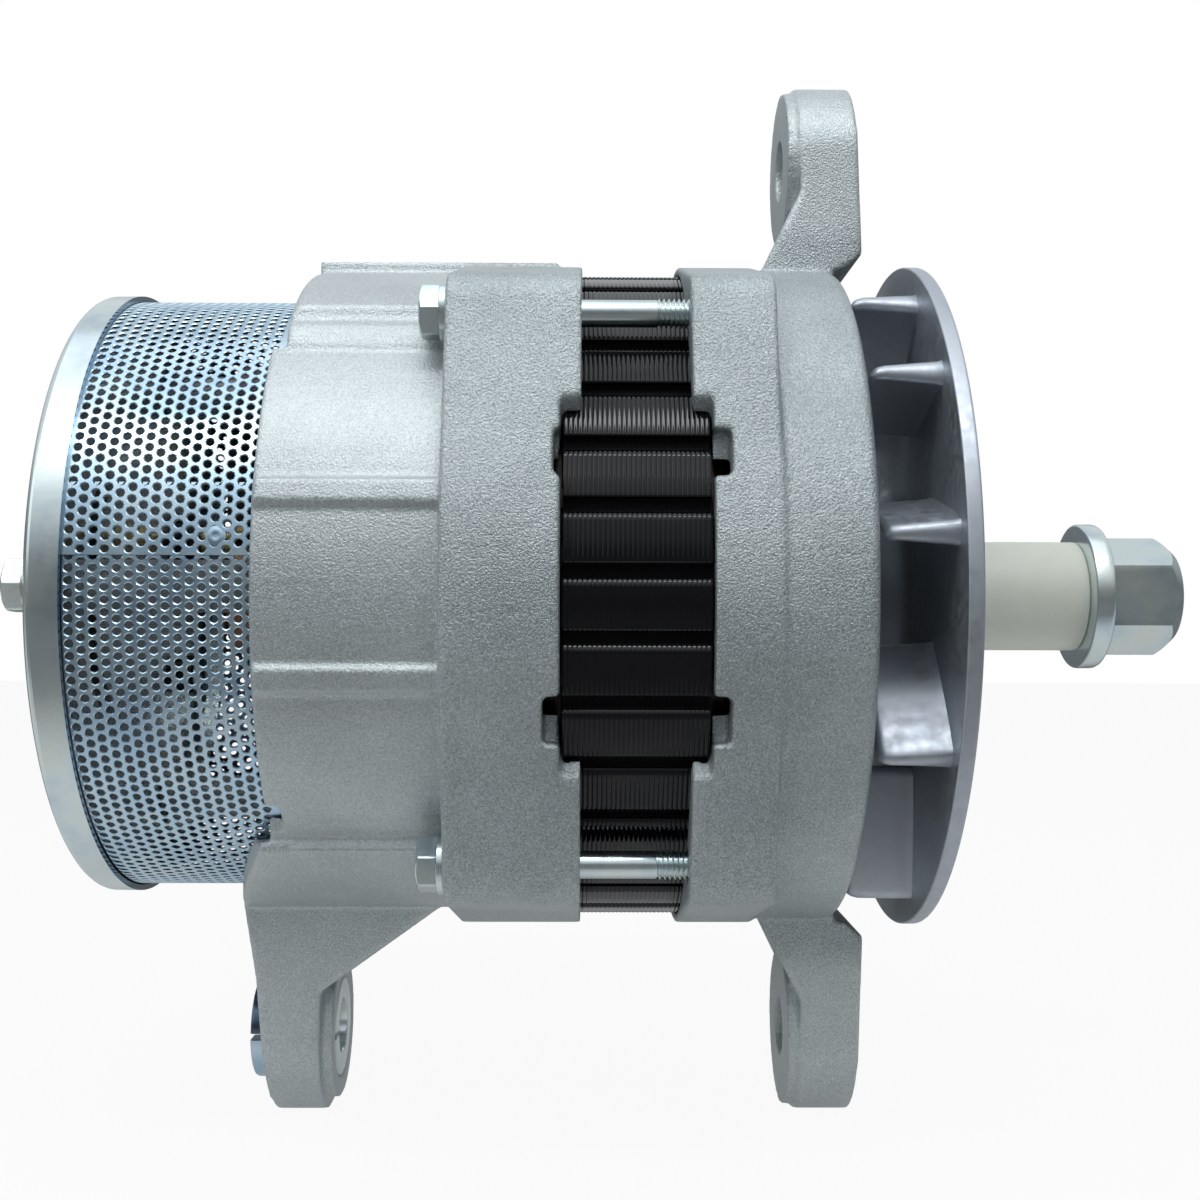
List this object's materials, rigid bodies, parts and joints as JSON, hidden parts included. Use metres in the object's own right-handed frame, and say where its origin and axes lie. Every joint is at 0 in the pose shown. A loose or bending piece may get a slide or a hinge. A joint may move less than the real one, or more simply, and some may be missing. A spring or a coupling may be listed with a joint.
{
  "type": "engine alternator",
  "caption": "Hinge-mounted engine alternator: two-piece cast housing round a laminated stator, external fan, guarded shaft end, perforated rear screen and sheet cover.",
  "frame": {"origin": "on the hinge axis, at the face of the front lower ear that looks into the hinge gap", "axes": "+X along the shaft towards the drive end, +Z from the hinge axis up to the rotor axis, +Y away from the viewed side"},
  "size_m": [0.262, 0.1512, 0.238],
  "materials": {
    "cast_alloy": "bead-blasted casting",
    "core_paint": "gloss black",
    "copper_wire": "enamelled copper",
    "insulation": "moulded resin",
    "zinc_plate": "bright zinc plate",
    "bearing_steel": "ground",
    "cage_brass": "machined",
    "sink_alloy": "satin",
    "diode_steel": "nickel plate",
    "carbon": "copper graphite",
    "spring_steel": "bright",
    "stud_brass": "plated",
    "ring_copper": "polished",
    "terminal_plastic": "gloss black",
    "rotor_steel": "oiled",
    "fan_alloy": "satin grey",
    "sleeve_plastic": "ivory"
  },
  "bodies": {
    "stator_body": {"front_housing": "cast_alloy", "rear_housing": "cast_alloy", "stator_core": "core_paint", "stator_winding": "copper_wire", "slot_wedges": "insulation", "through_bolts": "zinc_plate", "through_bolt_washers": "zinc_plate", "front_bearing_outer_ring": "bearing_steel", "rear_bearing_outer_ring": "bearing_steel", "bearing_retainer": "zinc_plate", "retainer_screws": "zinc_plate", "rear_screen": "zinc_plate", "rear_cover": "zinc_plate", "cover_bolts": "zinc_plate", "cover_bolt_washers": "zinc_plate", "positive_heat_sink": "sink_alloy", "negative_heat_sink": "sink_alloy", "positive_diodes": "diode_steel", "negative_diodes": "diode_steel", "heat_sink_insulators": "insulation", "heat_sink_screws": "zinc_plate", "voltage_regulator": "insulation", "regulator_screws": "zinc_plate", "brush_holder": "insulation", "brush_holder_lid": "zinc_plate", "brush_spring_a": "spring_steel", "brush_spring_b": "spring_steel", "output_stud": "stud_brass", "output_insulator": "terminal_plastic", "output_nuts": "zinc_plate", "relay_stud": "stud_brass", "relay_insulator": "terminal_plastic", "relay_nuts": "zinc_plate", "suppression_capacitor": "sink_alloy", "capacitor_strap": "zinc_plate"},
    "rotor": {"rotor_shaft": "rotor_steel", "front_pole": "rotor_steel", "rear_pole": "rotor_steel", "field_coil": "copper_wire", "coil_bobbin": "insulation", "slip_ring_inboard": "ring_copper", "slip_ring_outboard": "ring_copper", "slip_ring_insulator": "insulation", "front_bearing_inner_ring": "bearing_steel", "rear_bearing_inner_ring": "bearing_steel", "fan": "fan_alloy", "fan_spacer": "rotor_steel", "shaft_sleeve": "sleeve_plastic", "shaft_washer": "zinc_plate", "shaft_nut": "zinc_plate"},
    "front_cage": {"front_bearing_balls": "bearing_steel", "front_bearing_cage": "cage_brass"},
    "rear_cage": {"rear_bearing_balls": "bearing_steel", "rear_bearing_cage": "cage_brass"},
    "brush_a_body": {"brush_a": "carbon"},
    "brush_b_body": {"brush_b": "carbon"},
    "bush_body": {"pivot_bush": "zinc_plate"}
  },
  "joints": [
    {"name": "rotor_spin", "type": "hinge", "parent": "stator_body", "child": "rotor", "pos_m": [0, 0, 0.1005], "axis": [1, 0, 0], "continuous": true},
    {"name": "front_cage_spin", "type": "hinge", "parent": "stator_body", "child": "front_cage", "pos_m": [0, 0, 0.1005], "axis": [1, 0, 0], "continuous": true},
    {"name": "rear_cage_spin", "type": "hinge", "parent": "stator_body", "child": "rear_cage", "pos_m": [0, 0, 0.1005], "axis": [1, 0, 0], "continuous": true},
    {"name": "brush_a_slide", "type": "slide", "parent": "stator_body", "child": "brush_a_body", "axis": [0, 0, 1], "range_m": [0, 0.003], "stiffness_N_per_m": 200, "springref_m": -0.01, "deforming": ["brush_spring_a"]},
    {"name": "brush_b_slide", "type": "slide", "parent": "stator_body", "child": "brush_b_body", "axis": [0, 0, 1], "range_m": [0, 0.003], "stiffness_N_per_m": 200, "springref_m": -0.01, "deforming": ["brush_spring_b"]},
    {"name": "bush_slide", "type": "slide", "parent": "stator_body", "child": "bush_body", "axis": [1, 0, 0], "range_m": [-0.002, 0.002]}
  ],
  "couplings": [
    {"joint": "front_cage_spin", "follows": "rotor_spin", "ratio": 0.3759},
    {"joint": "rear_cage_spin", "follows": "rotor_spin", "ratio": 0.3807}
  ]
}
